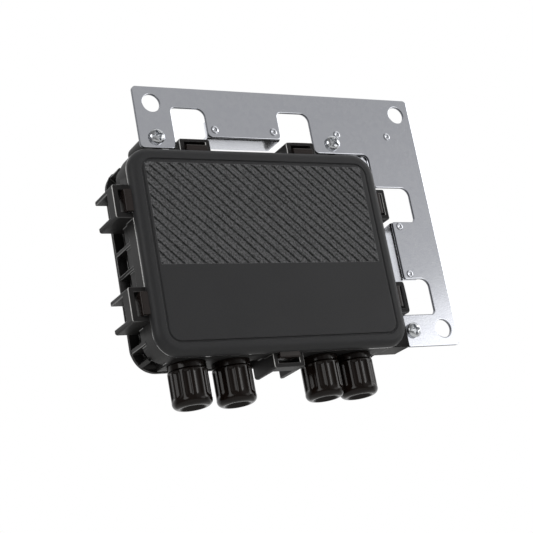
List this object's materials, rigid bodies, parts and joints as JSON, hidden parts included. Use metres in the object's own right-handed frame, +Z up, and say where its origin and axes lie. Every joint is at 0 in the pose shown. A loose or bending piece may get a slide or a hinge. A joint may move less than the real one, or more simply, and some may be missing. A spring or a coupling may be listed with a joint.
{
  "type": "solar power optimizer",
  "caption": "Solar power optimizer: flat snap-lid housing with domed cable glands below, hung in a sheet metal bracket with bolt holes.",
  "frame": {"origin": "midway between the bracket's two top holes, on the back face of its sheet", "axes": "+X right and +Z up seen from the front, +Y back, square to the sheet; the lid faces -Y"},
  "size_m": [0.1851, 0.0321, 0.1619],
  "materials": {
    "housing_plastic": "moulded dark grey, fine grain",
    "lid_plastic": "moulded charcoal, fine grain",
    "gland_plastic": "glossy black nylon",
    "ring_plastic": "plain black",
    "seal_rubber": "soft black",
    "sheet_metal": "pale grey galvanised sheet",
    "screw_zinc": "bright zinc plate",
    "board_laminate": "green solder mask",
    "ferrite": "fired grey-black ceramic",
    "film_case": "moulded amber",
    "can_sleeve": "bare drawn can",
    "chip_epoxy": "moulded black epoxy",
    "shield_tin": "tinned steel",
    "terminal_plastic": "moulded green",
    "thermal_silicone": "soft grey"
  },
  "bodies": {
    "housing": {"base_housing": "housing_plastic", "lid_gasket": "seal_rubber", "mounting_bracket": "sheet_metal", "bracket_angle_top": "sheet_metal", "bracket_angle_corner": "sheet_metal", "bracket_angle_right": "sheet_metal", "bracket_screws": "screw_zinc", "circuit_board": "board_laminate", "board_screws": "screw_zinc", "thermal_pad": "thermal_silicone", "power_inductor_1": "ferrite", "power_inductor_2": "ferrite", "film_capacitor_1": "film_case", "film_capacitor_2": "film_case", "electrolytic_capacitor_1": "can_sleeve", "electrolytic_capacitor_2": "can_sleeve", "electrolytic_capacitor_3": "can_sleeve", "power_transistor_1": "chip_epoxy", "power_transistor_2": "chip_epoxy", "power_transistor_3": "chip_epoxy", "power_transistor_4": "chip_epoxy", "bypass_diode": "chip_epoxy", "control_chip": "chip_epoxy", "radio_shield": "shield_tin", "gland_body_1": "gland_plastic", "gland_o_ring_1": "seal_rubber", "gland_seal_1": "seal_rubber", "terminal_block_1": "terminal_plastic", "gland_body_2": "gland_plastic", "gland_o_ring_2": "seal_rubber", "gland_seal_2": "seal_rubber", "terminal_block_2": "terminal_plastic", "gland_body_3": "gland_plastic", "gland_o_ring_3": "seal_rubber", "gland_seal_3": "seal_rubber", "terminal_block_3": "terminal_plastic", "gland_body_4": "gland_plastic", "gland_o_ring_4": "seal_rubber", "gland_seal_4": "seal_rubber", "terminal_block_4": "terminal_plastic"},
    "lid": {"lid": "lid_plastic"},
    "gland_ring_1": {"gland_ring_1": "ring_plastic"},
    "gland_nut_1": {"gland_nut_1": "gland_plastic"},
    "gland_ring_2": {"gland_ring_2": "ring_plastic"},
    "gland_nut_2": {"gland_nut_2": "gland_plastic"},
    "gland_ring_3": {"gland_ring_3": "ring_plastic"},
    "gland_nut_3": {"gland_nut_3": "gland_plastic"},
    "gland_ring_4": {"gland_ring_4": "ring_plastic"},
    "gland_nut_4": {"gland_nut_4": "gland_plastic"}
  },
  "joints": [
    {"name": "lid_lift", "type": "slide", "parent": "housing", "child": "lid", "axis": [0, -1, 0], "range_m": [0, 0.06]},
    {"name": "gland_ring_1_slide", "type": "slide", "parent": "housing", "child": "gland_ring_1", "axis": [0, 0, -1], "range_m": [0, 0.0061]},
    {"name": "gland_nut_1_turn", "type": "hinge", "parent": "gland_ring_1", "child": "gland_nut_1", "pos_m": [-0.0733, 0.0083, -0.1319], "axis": [0, 0, -1], "range_deg": [0, 1440]},
    {"name": "gland_ring_2_slide", "type": "slide", "parent": "housing", "child": "gland_ring_2", "axis": [0, 0, -1], "range_m": [0, 0.0061]},
    {"name": "gland_nut_2_turn", "type": "hinge", "parent": "gland_ring_2", "child": "gland_nut_2", "pos_m": [-0.0495, 0.0083, -0.1319], "axis": [0, 0, -1], "range_deg": [0, 1440]},
    {"name": "gland_ring_3_slide", "type": "slide", "parent": "housing", "child": "gland_ring_3", "axis": [0, 0, -1], "range_m": [0, 0.0061]},
    {"name": "gland_nut_3_turn", "type": "hinge", "parent": "gland_ring_3", "child": "gland_nut_3", "pos_m": [0.0002, 0.0083, -0.1319], "axis": [0, 0, -1], "range_deg": [0, 1440]},
    {"name": "gland_ring_4_slide", "type": "slide", "parent": "housing", "child": "gland_ring_4", "axis": [0, 0, -1], "range_m": [0, 0.0061]},
    {"name": "gland_nut_4_turn", "type": "hinge", "parent": "gland_ring_4", "child": "gland_nut_4", "pos_m": [0.0202, 0.0083, -0.1319], "axis": [0, 0, -1], "range_deg": [0, 1440]}
  ],
  "couplings": [
    {"joint": "gland_ring_1_slide", "follows": "gland_nut_1_turn", "m_per_rad": 0.00023873},
    {"joint": "gland_ring_2_slide", "follows": "gland_nut_2_turn", "m_per_rad": 0.00023873},
    {"joint": "gland_ring_3_slide", "follows": "gland_nut_3_turn", "m_per_rad": 0.00023873},
    {"joint": "gland_ring_4_slide", "follows": "gland_nut_4_turn", "m_per_rad": 0.00023873}
  ]
}
